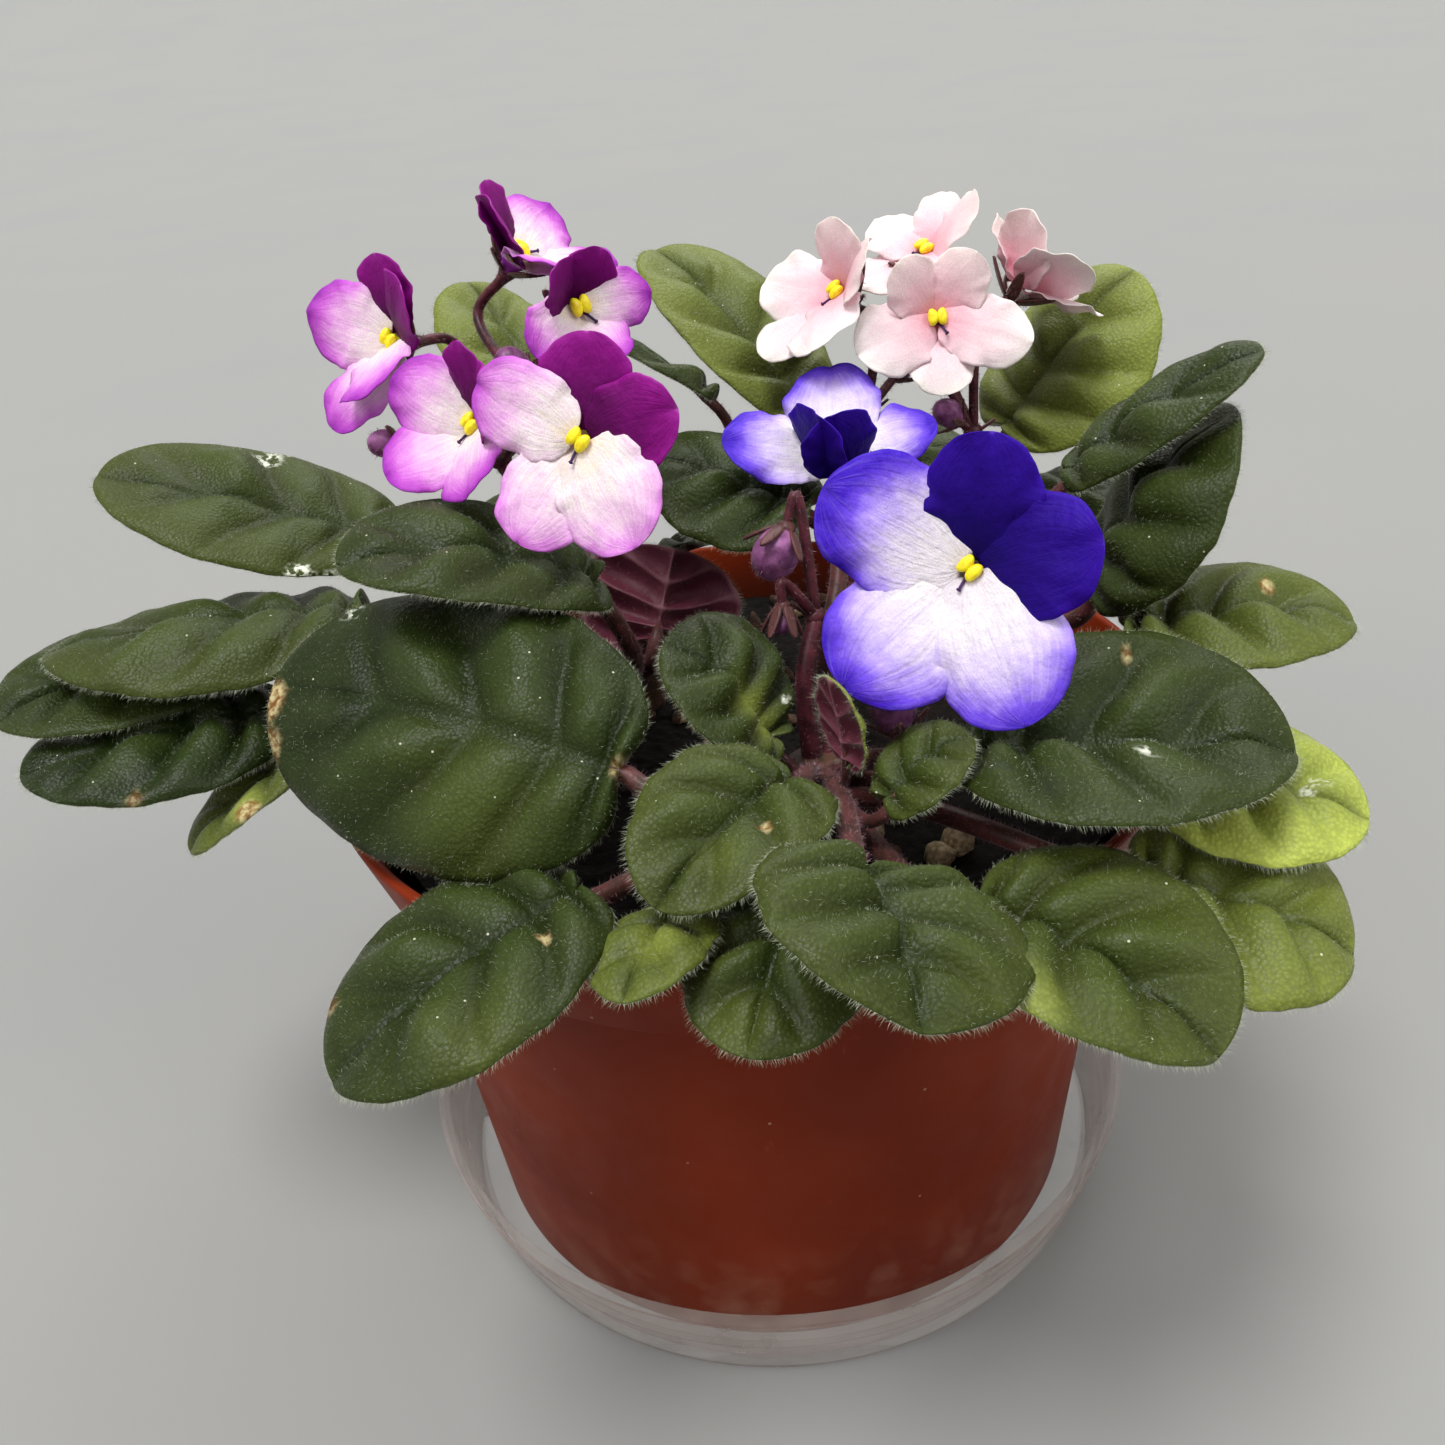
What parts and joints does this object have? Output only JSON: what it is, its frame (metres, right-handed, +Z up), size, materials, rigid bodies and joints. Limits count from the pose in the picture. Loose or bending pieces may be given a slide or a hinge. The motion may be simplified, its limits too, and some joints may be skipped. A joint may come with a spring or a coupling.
{
  "type": "potted african violet",
  "caption": "African violets with fuzzy dark leaves and two-tone ruffled blooms, in a terracotta-coloured plastic pot standing in a clear saucer.",
  "frame": {"origin": "centre of the saucer's flat underside", "axes": "+Z up along the pot's axis, -Y towards the front of the display, where the large blue bloom faces, +X to the right seen from the front"},
  "size_m": [0.2386, 0.2105, 0.1871],
  "materials": {
    "saucer_clear": "clear, thin, glossy",
    "pot_terracotta": "terracotta-coloured, satin, dusty towards the base",
    "soil": "peat potting mix, rough and damp",
    "stems": "dark red-purple, finely hairy",
    "leaf": "dark olive green above, quilted and hairy, maroon below",
    "petal_purple": "velvety, plum upper petals, white to magenta lower petals",
    "petal_blue": "velvety, indigo upper petals, white to violet-blue lower petals",
    "petal_pink": "velvety, pale pink with a deeper throat",
    "anther": "bright yellow, smooth"
  },
  "bodies": {
    "root": {"saucer": "saucer_clear", "pot": "pot_terracotta", "soil": "soil", "stems_purple": "stems", "stems_blue": "stems", "stems_pink": "stems", "leaf_left_upper": "leaf", "leaf_left_middle": "leaf", "leaf_left_lower": "leaf", "leaf_left_outer": "leaf", "leaf_left_small": "leaf", "leaf_over_left": "leaf", "leaf_front_left_large": "leaf", "leaf_front_left_low": "leaf", "leaf_front_small": "leaf", "leaf_front_folded": "leaf", "leaf_centre_dark": "leaf", "leaf_centre_bract": "leaf", "leaf_under_bloom": "leaf", "leaf_front_low": "leaf", "leaf_front_heart": "leaf", "leaf_front_right": "leaf", "leaf_right_low": "leaf", "leaf_right_yellow": "leaf", "leaf_right_large": "leaf", "leaf_right_middle": "leaf", "leaf_right_upright": "leaf", "leaf_right_narrow": "leaf", "leaf_back_right": "leaf", "leaf_back_centre": "leaf", "leaf_back_left": "leaf", "leaf_centre_fuzzy": "leaf", "leaf_centre_edge": "leaf", "leaf_centre_cupped": "leaf", "leaf_centre_fan": "leaf", "leaf_rear_right": "leaf", "leaf_rear_middle": "leaf", "leaf_rear_left": "leaf", "bloom_purple_1": "petal_purple", "anthers_purple_1": "anther", "bloom_purple_2": "petal_purple", "anthers_purple_2": "anther", "bloom_purple_3": "petal_purple", "anthers_purple_3": "anther", "bloom_purple_4": "petal_purple", "anthers_purple_4": "anther", "bloom_purple_5": "petal_purple", "anthers_purple_5": "anther", "bloom_blue_1": "petal_blue", "anthers_blue_1": "anther", "bloom_blue_2": "petal_blue", "anthers_blue_2": "anther", "bloom_pink_1": "petal_pink", "anthers_pink_1": "anther", "bloom_pink_2": "petal_pink", "anthers_pink_2": "anther", "bloom_pink_3": "petal_pink", "anthers_pink_3": "anther", "bloom_pink_4": "petal_pink", "anthers_pink_4": "anther"}
  },
  "joints": []
}
